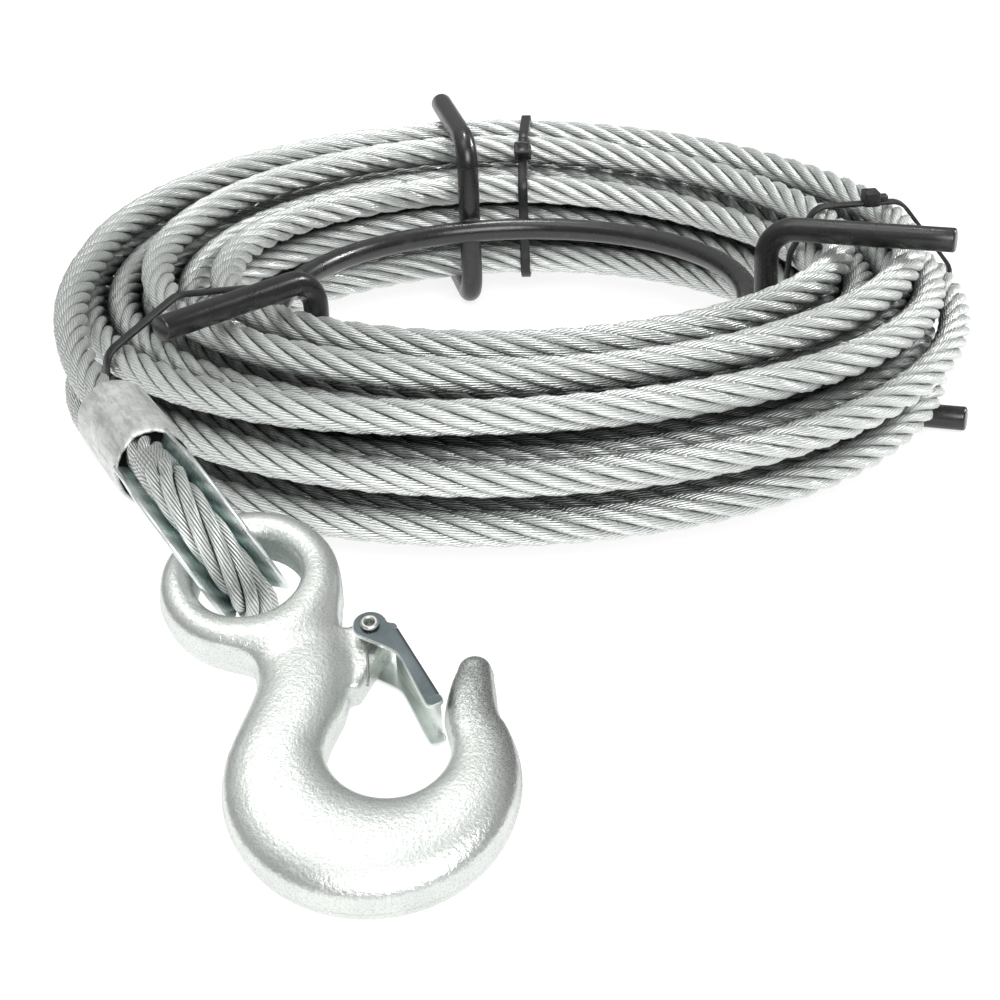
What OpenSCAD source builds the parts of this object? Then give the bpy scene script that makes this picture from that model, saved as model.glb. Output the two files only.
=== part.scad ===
// Coil of galvanised steel wire rope on a rod reel, with a pressed eye and a safety hook.
// Millimetres, +Z up, origin on the floor under the middle of the coil.

/* [Rope coil] */
// Diameter of the wire rope
rope_d = 11; // [10.6:0.1:11]
// Radius of the innermost turn at the middle of the rope
coil_r_in = 101; // [98:0.5:102]
// Radius of the outermost turn at the middle of the rope
coil_r_out = 152; // [152:0.5:158]
// Radius of the open top layer where the rope leaves it
exit_r = 147; // [144:0.5:149]
// Loops in each of the coil's three close layers
layer_loops = 4.4167; // [3.9167:0.0001:4.4167]
// Height from the first layer of loops to the second
low_step = 16.5; // [16.5:0.1:18]
// Height from the second layer of loops to the third
mid_step = 13.2; // [12:0.1:15]
// Height from the third layer of loops to the top one
top_step = 11.7; // [11.7:0.1:14]
// How far the coil sits off the middle of the reel
coil_shift = 2; // [0:0.1:2.5]
// How far the layers lean on the left, the top one inward
coil_lean = 7; // [0:0.5:8]
// How far the coil is flattened at its back right
coil_flat = 5; // [0:0.1:5]
// How far the upper layers sag at the back right
coil_sag = 4.5; // [0:0.1:4.5]
// How far the outermost loop of the third layer rides up at the front
outer_rise = 5; // [0:0.1:5]

/* [Reel] */
// Diameter of the reel's round bar
bar_d = 8; // [6:0.5:9]
// Inside-to-middle bend radius of the reel arms
bar_bend = 10; // [8:0.5:11]
// Height of the ring above the floor
ring_z = 33; // [25:1:42]
// Reach of the arms' top legs past the middle of the outermost turn
top_overhang = -1; // [-10:1:15]
// Reach of the arms' bottom legs past the middle of the outermost turn
bottom_overhang = 5; // [-5:1:15]
// Direction of the right arm
right_arm = -19; // [-30:1:-10]
// Direction of the back arm
back_arm = 100; // [95:1:110]
// Direction of the left arm
left_arm = 226; // [222:1:230]

/* [Cable ties] */
// Width of a cable tie's strap
tie_w = 3.6; // [2.5:0.1:4.8]
// Thickness of a cable tie's strap
tie_t = 1.3; // [1:0.1:1.5]
// Length of a tie's end, cut off past its head
tie_tail = 3; // [1:0.5:8]
// Turn from the right arm to the tie beside it
right_tie_turn = 26; // [14:1:30]
// Turn from the back arm to the tie beside it
back_tie_turn = -13; // [-20:1:-10]
// Turn from the left arm to the tie beside it
left_tie_turn = -13; // [-16:0.5:-8]

/* [Rope eye] */
// Diameter of the pressed ferrule
ferrule_d = 23; // [22:0.5:26]
// Length of the pressed ferrule
ferrule_l = 43; // [33:1:47]
// Inside radius of the thimble's crown
thimble_r = 11.5; // [11:0.5:13.5]
// Width of the thimble over its flanges
thimble_w = 18.4; // [17:0.1:19]
// Heading of the thimble, from the hook to the ferrule
thimble_heading = 113; // [110:1:116]
// Roll of the thimble about its own length
thimble_roll = 62; // [55:1:75]

/* [Hook] */
// Inside radius of the hook's eye
eye_r = 12.8; // [12.5:0.1:13.5]
// Width of the bar around the hook's eye
eye_bar = 10; // [8:0.1:10.5]
// Thickness of the hook at its eye
eye_h = 13; // [11:0.5:14]
// Radius of the hook's bowl
bowl_r = 13.5; // [12.5:0.1:14]
// Distance from the middle of the eye to the middle of the bowl
bowl_drop = 62.4; // [61:0.2:64]
// Half thickness of the forging at the bottom of the bowl
forging_t = 8; // [7:0.25:9]
// Slope of the hook as it lies on the floor
hook_tilt = 24.5; // [20:0.5:30]
// Turn of the hook in its own plane as it lies
hook_turn = 34.5; // [30:0.5:40]

/* [Latch] */
// Sheet thickness of the latch
latch_t = 1.4; // [1:0.1:1.6]
// Width of the latch between its cheeks
latch_gap = 13.8; // [13.4:0.1:14.6]
// Diameter of the latch's rivet
rivet_d = 3.2; // [2.8:0.1:3.6]
// Wire diameter of the latch's spring
spring_wire = 0.7; // [0.5:0.1:0.8]

/* [Hidden] */
$fn = 64;

// Clearance between pieces that lie against each other
seat = 0.3;
// Clearance between pieces that move past each other
run = 0.3;
rope_r = rope_d / 2;

// Coil: three close layers spiral in, out and in, and an open one spirals out on top
coil_start = 90;
rings_per_loop = 24;
coil_sides = 6;
close_loops = 3 * layer_loops;
// The top layer has about two loops, and ends a quarter turn past the start, where the rope leaves
top_loops = 2;
exit_turn = 0.25;
// A loop that is short by no more than this still counts
count_play = 0.1;
coil_loops = floor(close_loops + top_loops - exit_turn + count_play) + exit_turn;
first_z = bar_d + seat + rope_r;
last_z = first_z + low_step + mid_step + top_step;
// Share of a turn in which the rope climbs to the next layer
climb = 0.5;
shift_dir = -40;
lean_dir = 168;
flat_dir = 30;
sag_dir = 35;
rise_dir = 277;
// Share of the coil's height at which the lean turns from outward to inward
lean_pivot = 0.35;

function ease(x) = x <= 0 ? 0 : x >= 1 ? 1 : x * x * (3 - 2 * x);
function polar(r, a, z) = [r * cos(a), r * sin(a), z];
function unit(v) = v / norm(v);
function coil_angle(u) = coil_start + 360 * u;
function layer_of(u) = min(3, floor(u / layer_loops));
function layer_share(u) = u / layer_loops - layer_of(u);
function inward_share(u) = layer_of(u) % 2 == 0 ? layer_share(u) : 1 - layer_share(u);
function climbed(u, layer) = ease((u - layer * layer_loops) / climb + 0.5);
function top_share(u) = (climbed(u, 1) + climbed(u, 2) + climbed(u, 3)) / 3;
function bump(a) = pow(max(0, cos(a)), 3);
function lean(u) = coil_lean * (top_share(u) - lean_pivot) * bump(coil_angle(u) - lean_dir);
function close_r(u) = coil_r_out - (coil_r_out - coil_r_in) * inward_share(u);
function open_r(u) = coil_r_in + (exit_r - coil_r_in) * (u - close_loops) / (coil_loops - close_loops);
function coil_r(u) = (u < close_loops ? close_r(u) : open_r(u))
    + coil_shift * cos(coil_angle(u) - shift_dir) - lean(u) - coil_flat * bump(coil_angle(u) - flat_dir);
function sag(u) = coil_sag * climbed(u, 1) * bump(coil_angle(u) - sag_dir);
function on_outer_loop(u) = u > 2 * layer_loops && u < 2 * layer_loops + 1;
function rise(u) = on_outer_loop(u) ? outer_rise * bump(coil_angle(u) - rise_dir) : 0;
function coil_z(u) = first_z + low_step * climbed(u, 1) + mid_step * climbed(u, 2) + top_step * climbed(u, 3)
    - sag(u) + rise(u);
function coil_point(u) = polar(coil_r(u), coil_angle(u), coil_z(u));

coil_rings = round(coil_loops * rings_per_loop);
coil_turns = [for (i = [0:coil_rings]) coil_point(i / rings_per_loop)];
small_turn = 0.002;
coil_head = unit(coil_turns[0] - coil_point(small_turn));
coil_exit = unit(coil_turns[coil_rings] - coil_point(coil_loops - small_turn));
tail_from = coil_turns[0] + rope_d * coil_head;
lead_from = coil_turns[coil_rings] + rope_d * coil_exit;
coil_path = concat([tail_from], coil_turns, [lead_from]);

// Least gap between turns that lie beside or over each other
half_loop = rings_per_loop / 2;
coil_gap = min([for (i = [0:coil_rings - half_loop])
    for (j = [i + half_loop:coil_rings])
        norm(coil_turns[i] - coil_turns[j])]) - rope_d;
echo(coil_gap = coil_gap);

// The thimble's own frame has X toward the ferrule and Z across the flanges
thimble_x = [cos(thimble_heading), sin(thimble_heading), 0];
thimble_y = [
    -sin(thimble_heading) * cos(thimble_roll),
    cos(thimble_heading) * cos(thimble_roll),
    sin(thimble_roll),
];

// Free stretch from the coil to the ferrule, as steps from where it leaves the coil
lead_route = [
    [-0.5, -26, 0], [0.3, -40, 0], [2.2, -55, -0.1], [5, -70, -0.3], [8.7, -85, -0.6], [13.2, -100, -0.8],
];
lead_span = [24, -128, -1];
lead_sides = 10;
lead_end = lead_from + lead_span;
lead_path = concat(
    [lead_from, lead_from + rope_d * coil_exit],
    [for (p = lead_route) lead_from + p],
    [lead_end + rope_d * thimble_x, lead_end]
);

// Free stretch from the coil to the cut end, which comes down to lie on the floor
tail_route = [[20, 0, -0.6], [29, 0, -2.4], [38, 0, -4.8], [47, 0, -6.9], [55, 0, -7.9], [61, 0, -8], [72, 0, -8]];
tail_path = concat(
    [tail_from, tail_from + rope_d * coil_head],
    [for (p = tail_route) tail_from + p]
);
tip_from = tail_path[len(tail_path) - 1];
tip_body_l = 22;
tip_cone_l = 9;
tip_end_r = 2.5;

// Rope eye
thimble_wall = 3.3;
groove_r = rope_r + 0.2;
rope_bend_r = thimble_r + thimble_wall + groove_r;
// Slope of the rope's two legs as they close in on the ferrule
leg_slope = 20;
// Gap between the two legs at the ferrule
mouth_gap = 0.3;
leg_y = rope_r + mouth_gap / 2;
leg_l = (rope_bend_r * cos(leg_slope) - leg_y) / sin(leg_slope);
leg_end_x = rope_bend_r * sin(leg_slope) + leg_l * cos(leg_slope);
// Bare rope between the thimble and the ferrule
bare_l = 8;
mouth_x = leg_end_x + bare_l;
far_x = mouth_x + ferrule_l;
ferrule_edge = 1.5;
eye_sides = 10;
crown_steps = 18;
// The ferrule squeezes both ropes to a slug of this half thickness
press_r = 4.4;
// Length of the rope's cut end past the ferrule
stub_l = 5;
// Past the middle of the groove the thimble's walls flare, and they end beside the rope
flare_drop = 2;
flange_r = rope_bend_r + 1;
flange_t = 1.3;
groove_steps = 12;
// How far the end walls lap the legs
wall_lap = 2;
thimble_end_x = leg_end_x - 1;
thimble_at = lead_end - rope_r * thimble_y - far_x * thimble_x;

// Hook: its own frame has Y toward the top of the eye and Z out of its face
eye_mid_r = eye_r + eye_bar / 2;
eye_reach = 7.4;
load_dir = [
    sin(hook_turn),
    -cos(hook_turn) * cos(hook_tilt),
    -cos(hook_turn) * sin(hook_tilt),
];
swing_at = thimble_at - (thimble_r - eye_reach) * thimble_x;
hook_at = swing_at + eye_mid_r * load_dir;
bowl_at = [0, -bowl_drop];
belly_at = [-4, -bowl_drop - 2.3];
belly_r = 24;
belly_half_w = 10.8;
belly_swell = 4.6;
belly_heavy = 210;
section_sides = 20;
section_power = 2.5;
rivet_at = [14.5, -33];
lug_r = 5;
lug_h = 8;
// Corners of the web that joins the lug to the neck
lug_foot = [[0, lug_r], [-12, 9], [-20, -4], [-11, -11], [4, -3], [lug_r, 0]];
rivet_lip = 0.7;
rivet_head_h = 1.1;

// Tube of one diameter along a path, with flat square ends
function direction(path, i) = let (n = len(path) - 1)
    unit(path[min(n, i + 1)] - path[max(0, i - 1)]);
function end_direction(path, i) = let (n = len(path) - 1)
    i == 0 ? unit(path[1] - path[0]) : i == n ? unit(path[n] - path[n - 1]) : direction(path, i);
function ring(p, t, r, sides) = let (s = unit(cross([0, 0, 1], t)), u = cross(t, s))
    [for (k = [0:sides - 1]) let (a = 360 * (k + 0.5) / sides) p + r * (cos(a) * s + sin(a) * u)];
function skin_faces(rings, sides) = concat(
    [for (k = [1:sides - 2]) [0, k, k + 1]],
    [for (i = [0:rings - 2]) for (k = [0:sides - 1]) let (a = i * sides + k, b = i * sides + (k + 1) % sides)
        each [[a, a + sides, b], [b, a + sides, b + sides]]],
    [for (k = [1:sides - 2]) let (e = (rings - 1) * sides) [e, e + k + 1, e + k]]
);
module tube(path, r, sides) {
    rings = [for (i = [0:len(path) - 1]) each ring(path[i], end_direction(path, i), r, sides)];
    polyhedron(points = rings, faces = skin_faces(len(path), sides));
}

// Frames
module in_thimble_frame() {
    translate(thimble_at) rotate([0, 0, thimble_heading]) rotate([thimble_roll, 0, 0]) children();
}
module in_hook_frame() {
    translate(hook_at) rotate([hook_tilt, 0, 0]) rotate([0, 0, hook_turn]) children();
}

// Rope
module wire_rope_coil() {
    color("silver") tube(coil_path, rope_r, coil_sides);
}
module wire_rope_lead() {
    color("silver") tube(lead_path, rope_r, lead_sides);
}
module wire_rope_tail() {
    color("silver") tube(tail_path, rope_r, lead_sides);
}
module rope_tip() {
    color("gray") translate(tip_from) rotate([0, 90, 0]) {
        cylinder(r = rope_r, h = tip_body_l);
        translate([0, 0, tip_body_l]) cylinder(r1 = rope_r, r2 = tip_end_r, h = tip_cone_l);
    }
}

// Rope loop round the thimble, from one leg at the ferrule to the other
function crown_point(a) = [rope_bend_r * cos(a), rope_bend_r * sin(a), 0];
crown_from = 90 - leg_slope;
crown_turn = 360 - 2 * crown_from;
crown_points = [for (i = [0:crown_steps]) crown_point(crown_from + crown_turn * i / crown_steps)];
eye_path = concat(
    [[mouth_x, leg_y, 0], [leg_end_x + rope_r, leg_y, 0], [leg_end_x, leg_y, 0]],
    crown_points,
    [[leg_end_x, -leg_y, 0], [leg_end_x + rope_r, -leg_y, 0], [mouth_x, -leg_y, 0]]
);
module press_outline(r) {
    translate([0, press_r]) circle(r);
    translate([0, -press_r]) circle(r);
    square([2 * r, 2 * press_r], center = true);
}
module wire_rope_eye() {
    color("silver") in_thimble_frame() {
        tube(eye_path, rope_r, eye_sides);
        translate([mouth_x - 1, 0, 0]) rotate([0, 90, 0]) linear_extrude(ferrule_l + 1) press_outline(press_r);
        translate([far_x, -rope_r, 0]) rotate([0, 90, 0]) cylinder(r = rope_r - seat, h = stub_l);
        translate([far_x - 1, -press_r, 0]) rotate([0, 90, 0]) cylinder(r = press_r / 2, h = stub_l);
    }
}
module ferrule() {
    end_d = ferrule_d - ferrule_edge;
    color("darkgray") in_thimble_frame() translate([mouth_x, 0, 0]) rotate([0, 90, 0]) difference() {
        union() {
            cylinder(d1 = end_d, d2 = ferrule_d, h = ferrule_edge);
            translate([0, 0, ferrule_edge]) cylinder(d = ferrule_d, h = ferrule_l - 2 * ferrule_edge);
            translate([0, 0, ferrule_l - ferrule_edge]) cylinder(d1 = ferrule_d, d2 = end_d, h = ferrule_edge);
        }
        translate([0, 0, -1]) linear_extrude(ferrule_l + 2) press_outline(press_r);
    }
}

// Thimble: a flared channel bent round the crown, with two straight legs
function groove_arc(r, from, to) = [for (i = [0:groove_steps])
    let (a = from + (to - from) * i / groove_steps) [rope_bend_r + r * cos(a), r * sin(a)]];
module channel_section() {
    back_r = groove_r + thimble_wall;
    back_from = acos(-flare_drop / back_r);
    groove_from = acos(-flare_drop / groove_r);
    rim = thimble_w / 2;
    polygon(concat(
        [[flange_r, rim]], groove_arc(back_r, back_from, 360 - back_from),
        [[flange_r, -rim], [flange_r, flange_t - rim]], groove_arc(groove_r, 360 - groove_from, groove_from),
        [[flange_r, rim - flange_t]]
    ));
}
module thimble_leg() {
    intersection() {
        rotate([0, 0, crown_from]) rotate([90, 0, 0]) linear_extrude(2 * leg_l) channel_section();
        translate([0, 0, -thimble_w]) cube([thimble_end_x, 3 * thimble_r, 2 * thimble_w]);
    }
}
// The walls run on beside both ropes, from the legs to the ferrule
module thimble_walls() {
    wall_from = thimble_end_x - wall_lap;
    wall_in = rope_r + seat;
    reach = leg_y + flange_r - rope_bend_r;
    for (side = [0, 1])
        mirror([0, 0, side]) translate([wall_from, -reach, wall_in])
            cube([mouth_x - seat - wall_from, 2 * reach, thimble_w / 2 - wall_in]);
}
module thimble() {
    color("lightsteelblue") in_thimble_frame() {
        rotate([0, 0, crown_from]) rotate_extrude(angle = crown_turn) channel_section();
        thimble_leg();
        mirror([0, 1, 0]) thimble_leg();
        thimble_walls();
    }
}

// Hook forging: stations along its middle line, each [x, y, half width, half thickness]
belly_from = 130;
belly_to = 350;
belly_steps = 24;
// The forging gets thinner on its way up to the tip
thin_from = 290;
tip_thinning = 1.5;
function belly_station(a) = [
    belly_at.x + belly_r * cos(a), belly_at.y + belly_r * sin(a),
    belly_half_w + belly_swell * cos(a - belly_heavy),
    forging_t - tip_thinning * ease((a - thin_from) / (belly_to - thin_from)),
];
neck_stations = [[1, -15, 13.5, 5.2], [0, -20, 12.3, 6], [-1.8, -26.5, 11.8, 6.8], [-7.5, -36.5, 11.6, 7.6]];
tip_stations = [
    [22.8, -63.5, 6.4, 6.2], [26, -59.4, 5.7, 5.8], [28.6, -56.4, 4.9, 5.2],
    [30.2, -54.6, 3.7, 4.2], [31, -53.7, 2, 2.4],
];
belly_stations = [for (i = [0:belly_steps]) belly_station(belly_from + (belly_to - belly_from) * i / belly_steps)];
hook_stations = concat(neck_stations, belly_stations, tip_stations);
function round_off(c) = sign(c) * pow(abs(c), 2 / section_power);
function station_ring(s, t) = let (out = [-t.y, t.x, 0])
    [for (k = [0:section_sides - 1]) let (a = 360 * (k + 0.5) / section_sides)
        [s[0], s[1], 0] + s[2] * round_off(cos(a)) * out + [0, 0, s[3] * round_off(sin(a))]];
hook_line = [for (s = hook_stations) [s[0], s[1], 0]];
module forging() {
    rings = [for (i = [0:len(hook_line) - 1]) each station_ring(hook_stations[i], end_direction(hook_line, i))];
    polyhedron(points = rings, faces = skin_faces(len(hook_line), section_sides));
}
module eye_section() {
    r = eye_bar / 2;
    straight = eye_h - eye_bar;
    translate([eye_mid_r, straight / 2]) circle(r);
    translate([eye_mid_r, -straight / 2]) circle(r);
    translate([eye_mid_r, 0]) square([eye_bar, straight], center = true);
}
module lug() {
    translate([rivet_at.x, rivet_at.y, -lug_h / 2]) {
        cylinder(r = lug_r, h = lug_h);
        linear_extrude(lug_h) polygon(lug_foot);
    }
}
module hook_body() {
    color("gainsboro") in_hook_frame() difference() {
        union() {
            forging();
            rotate_extrude() eye_section();
            lug();
        }
        cylinder(r = eye_r, h = 4 * eye_h, center = true);
        translate(concat(bowl_at, -2 * forging_t)) cylinder(r = bowl_r, h = 4 * forging_t);
        translate(concat(rivet_at, -lug_h)) cylinder(d = rivet_d, h = 2 * lug_h);
    }
}

// Latch: a bent sheet with a web across the throat and a cheek on each side
latch_lean = -8;
latch_len = 29;
ear_r = 4.2;
// Where the cheek's lower edge leaves the ear, and the notch above the fold
ear_edge = 195;
notch = [3.85, -0.9];
// The fold between a cheek and the web
fold_x = 5.7;
fold_from = 2.4;
web_from = 4;
web_to = 26.5;
// Corners of the cheek's inner edge, at its knee and at its end
knee = [2.2, -10.5];
end_edge_x = 1.4;
end_round = 1.6;
spring_curls = 1.25;
spring_rings = 8;
spring_sides = 6;
// Clearance round the spring
spring_play = 0.3;
module in_latch_frame() {
    in_hook_frame() translate(concat(rivet_at, 0)) rotate([0, 0, latch_lean]) children();
}
module cheek_outline() {
    circle(ear_r);
    polygon([
        notch, [fold_x, -fold_from], [fold_x, end_round - latch_len], [fold_x - end_round / 2, -latch_len],
        [end_edge_x + end_round / 2, -latch_len], [end_edge_x, end_round - latch_len], knee,
        [ear_r * cos(ear_edge), ear_r * sin(ear_edge)],
    ]);
}
module hook_latch() {
    inner = latch_gap / 2;
    color("slategray") in_latch_frame() difference() {
        union() {
            translate([0, 0, inner]) linear_extrude(latch_t) cheek_outline();
            translate([0, 0, -inner - latch_t]) linear_extrude(latch_t) cheek_outline();
            translate([fold_x - latch_t, -web_to, -inner - latch_t])
                cube([latch_t, web_to - web_from, latch_gap + 2 * latch_t]);
        }
        translate([0, 0, -latch_gap]) cylinder(r = rivet_d / 2 + run, h = 2 * latch_gap);
    }
}
module latch_rivet() {
    half = latch_gap / 2 + latch_t + run;
    color("whitesmoke") in_hook_frame() translate(concat(rivet_at, 0)) {
        cylinder(d = rivet_d, h = 2 * half, center = true);
        for (side = [0, 1])
            mirror([0, 0, side]) translate([0, 0, half])
                cylinder(r1 = rivet_d / 2 + rivet_lip, r2 = rivet_d / 2 + rivet_lip / 2, h = rivet_head_h);
    }
}
module latch_spring() {
    curl_r = rivet_d / 2 + spring_wire / 2 + spring_play;
    from = lug_h / 2 + spring_wire / 2 + spring_play;
    to = latch_gap / 2 - spring_wire / 2 - spring_play;
    steps = spring_rings * spring_curls;
    turns = [for (i = [0:steps]) polar(curl_r, 180 + 360 * i / spring_rings, from + (to - from) * i / steps)];
    color("dimgray") in_hook_frame() translate(concat(rivet_at, 0)) tube(turns, spring_wire / 2, spring_sides);
}

// Reel
arm_r = coil_r_in - rope_r - coil_shift - seat - bar_d / 2;
weld_gap = 0.05;
bottom_z = bar_d / 2;
top_z = last_z + rope_r + seat + bar_d / 2;
module bar(l) {
    cylinder(d = bar_d, h = l);
}
module elbow() {
    rotate_extrude(angle = 90) translate([bar_bend, 0]) circle(d = bar_d);
}
module arm() {
    bend_r = arm_r + bar_bend;
    translate([bend_r, 0, bottom_z]) rotate([0, 90, 0]) bar(coil_r_out + bottom_overhang - bend_r);
    translate([bend_r, 0, bottom_z + bar_bend]) rotate([90, 0, 0]) rotate([0, 0, 180]) elbow();
    translate([arm_r, 0, bottom_z + bar_bend]) bar(top_z - bottom_z - 2 * bar_bend);
    translate([bend_r, 0, top_z - bar_bend]) rotate([90, 0, 0]) rotate([0, 0, 90]) elbow();
    translate([bend_r, 0, top_z]) rotate([0, 90, 0]) bar(coil_r_out + top_overhang - bend_r);
}
// The ring lies against the inside of the arms, where it is welded
ring_r = arm_r - bar_d - weld_gap;
module reel_ring() {
    color("#222222") translate([0, 0, ring_z]) rotate_extrude() translate([ring_r, 0]) circle(d = bar_d);
}
module reel_arm_right() {
    color("#222222") rotate([0, 0, right_arm]) arm();
}
module reel_arm_back() {
    color("#222222") rotate([0, 0, back_arm]) arm();
}
module reel_arm_left() {
    color("#222222") rotate([0, 0, left_arm]) arm();
}

// Cable ties: a strap drawn round the coil, with a head and its cut end
head_w = 6.4;
head_l = 5.4;
head_h = 5.2;
// Height of the cut end in the head
tail_h = 2.1;
// Distance of the right tie's head from the middle, on top of the coil
right_head_r = 126;
// Distance of the other heads down the strap from the innermost top turn
back_head_drop = 6.5;
left_head_drop = 7;
strap_sides = 24;
// The coil's straight end reaches back past its start by this share of a turn
straight_turn = 0.01;
// Middle of the rope at a turn, between two rings of the tube, as [distance from the axis, height]
function turn_at(u) = let (
    i = max(0, floor(u * rings_per_loop)),
    share = u * rings_per_loop - i,
    p = coil_turns[i] * (1 - share) + coil_turns[i + 1] * share
) [norm([p.x, p.y]), p.z];
function turns_at(a) = [for (k = [0:coil_loops]) let (u = (a - coil_start) / 360 + k)
    if (u > -straight_turn && u < coil_loops) turn_at(u)];
// Innermost turn of the top layer, which is the first that the rope lays there
function top_turn(a) = let (turns = turns_at(a), high = max([for (p = turns) p.y]) - rope_r)
    [for (p = turns) if (p.y > high) p][0];
// Direction in which the strap faces on its straight way down from that turn
function down_aim(a) = let (top = top_turn(a))
    min([for (p = turns_at(a)) if (p.y < top.y) (atan2(top.x - p.x, p.y - top.y) + 360) % 360]);
// Bed of the strap at a distance from the axis, on a turn or from one turn to another, as [height, slope]
function bed_on(p, x) = let (r = rope_r + seat, off = x - p.x)
    [for (side = [0]) if (abs(off) < r) [p.y + sqrt(r * r - off * off), asin(off / r)]];
function bed_between(p, q, x) = let (r = rope_r + seat, step = q - p, out = [-step.y, step.x] / norm(step))
    [for (share = [(x - p.x - r * out.x) / step.x])
        if (share >= 0 && share <= 1) [p.y + r * out.y + share * step.y, atan2(out.x, out.y)]];
function strap_bed(a, x) = let (
    turns = turns_at(a),
    beds = [for (p = turns) each concat(bed_on(p, x), [for (q = turns) if (q.x > p.x) each bed_between(p, q, x)])],
    high = max([for (bed = beds) bed[0]])
) [for (bed = beds) if (bed[0] == high) bed][0];
module round_turns(a, gap) {
    hull()
        for (p = turns_at(a))
            translate(p) circle(rope_r + gap, $fn = strap_sides);
}
module strap(a) {
    rotate([90, 0, 0]) linear_extrude(tie_w, center = true) difference() {
        round_turns(a, seat + tie_t);
        round_turns(a, seat);
    }
}
module tie_head() {
    translate([-head_l / 2, -head_w / 2, 0]) cube([head_l, head_w, head_h]);
    translate([0, -tie_w / 2, tail_h]) cube([head_l / 2 + tie_tail, tie_w, tie_t]);
}
module tie_on_top(a, head_r) {
    bed = strap_bed(a, head_r);
    color("#1a1a1a") rotate([0, 0, a]) {
        strap(a);
        translate([head_r, 0, bed[0]]) rotate([0, bed[1], 0]) tie_head();
    }
}
module tie_inside(a, drop) {
    turn = top_turn(a);
    color("#1a1a1a") rotate([0, 0, a]) {
        strap(a);
        translate([turn.x, 0, turn.y]) rotate([0, 90 - down_aim(a), 0])
            translate([-drop, 0, rope_r + seat]) tie_head();
    }
}
module tie_right() {
    tie_on_top(right_arm + right_tie_turn, right_head_r);
}
module tie_back() {
    tie_inside(back_arm + back_tie_turn, back_head_drop);
}
module tie_left() {
    tie_inside(left_arm + left_tie_turn, left_head_drop);
}

wire_rope_coil();
wire_rope_lead();
wire_rope_eye();
wire_rope_tail();
rope_tip();
ferrule();
thimble();
hook_body();
hook_latch();
latch_rivet();
latch_spring();
reel_ring();
reel_arm_right();
reel_arm_back();
reel_arm_left();
tie_right();
tie_back();
tie_left();
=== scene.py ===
import math
import bmesh
import bpy
import numpy as np
from mathutils import Matrix, Vector, kdtree


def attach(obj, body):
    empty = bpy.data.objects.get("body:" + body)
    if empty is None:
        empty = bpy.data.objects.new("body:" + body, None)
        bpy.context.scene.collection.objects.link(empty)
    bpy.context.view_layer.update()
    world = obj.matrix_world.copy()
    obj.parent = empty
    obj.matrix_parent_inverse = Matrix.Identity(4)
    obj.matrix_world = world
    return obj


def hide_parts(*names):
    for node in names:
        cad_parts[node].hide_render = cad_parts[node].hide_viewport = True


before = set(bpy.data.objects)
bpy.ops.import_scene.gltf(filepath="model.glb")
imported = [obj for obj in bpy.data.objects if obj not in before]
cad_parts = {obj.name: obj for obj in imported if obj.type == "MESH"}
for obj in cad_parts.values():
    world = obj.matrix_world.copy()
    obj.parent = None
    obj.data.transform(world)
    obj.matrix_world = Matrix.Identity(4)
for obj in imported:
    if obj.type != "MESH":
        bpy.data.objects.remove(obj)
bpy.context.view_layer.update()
MM = 0.001
UP = (0, 0, 1)

# Sizes, in millimetres and degrees, as in the part's source
ROPE_R = 5.5
ROPE_D = 2 * ROPE_R
COIL_R_IN, COIL_R_OUT, EXIT_R = 101.0, 152.0, 147.0
CLOSE_LAYERS, LAYER_LOOPS = 3, 4.4167
STEPS = (16.5, 13.2, 11.7)
COIL_SHIFT, COIL_LEAN, COIL_FLAT, COIL_SAG, OUTER_RISE = 2.0, 7.0, 5.0, 4.5, 5.0
SHIFT_DIR, LEAN_DIR, FLAT_DIR, SAG_DIR, RISE_DIR = -40, 168, 30, 35, 277
LEAN_PIVOT = 0.35
COIL_START, COIL_LOOPS, FIRST_Z, CLIMB = 90.0, 15.25, 13.8, 0.5
BAR_R, BAR_BEND, RING_Z, SEAT = 4.0, 10.0, 33.0, 0.3
TIE_W, TIE_T = 3.6, 1.3
THIMBLE_AT = np.array([-78.2101, -225.8010, 49.3438])
THIMBLE_WALL, THIMBLE_W, LEG_SLOPE = 3.3, 18.4, 20.0
ROPE_BEND_R, LEG_Y, LEG_END_X, MOUTH_X = 20.5, 5.65, 44.4147, 52.4147
FERRULE_R, FERRULE_L = 11.5, 43.0
HOOK_AT = np.array([-66.5261, -242.9240, 43.2605])
EYE_R, EYE_MID_R, EYE_BAR_R = 12.8, 17.8, 5
BOWL_R, BOWL_AT = 13.5, (0.0, -62.4)
RIVET_AT = np.array([14.5, -33.0, 0.0])
RIVET_HOLE_R, LUG_R, LUG_HALF = 1.6, 5, 4
LATCH_HALF, LATCH_T = 6.9, 1.4


def turn_x(d):
    c, s = math.cos(math.radians(d)), math.sin(math.radians(d))
    return np.array([[1, 0, 0], [0, c, -s], [0, s, c]])


def turn_z(d):
    c, s = math.cos(math.radians(d)), math.sin(math.radians(d))
    return np.array([[c, -s, 0], [s, c, 0], [0, 0, 1]])


THIMBLE_M = turn_z(113) @ turn_x(62)
HOOK_M = turn_x(24.5) @ turn_z(34.5)
LATCH_M = HOOK_M @ turn_z(-8)


def from_thimble(p):
    return THIMBLE_AT + np.asarray(p, float) @ THIMBLE_M.T


def from_hook(p):
    return HOOK_AT + np.asarray(p, float) @ HOOK_M.T


def from_latch(p):
    return from_hook(RIVET_AT) + np.asarray(p, float) @ LATCH_M.T


def unit(v):
    v = np.asarray(v, float)
    return v / np.linalg.norm(v, axis=-1, keepdims=True)


def ease(x):
    x = np.clip(x, 0, 1)
    return x * x * (3 - 2 * x)


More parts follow.
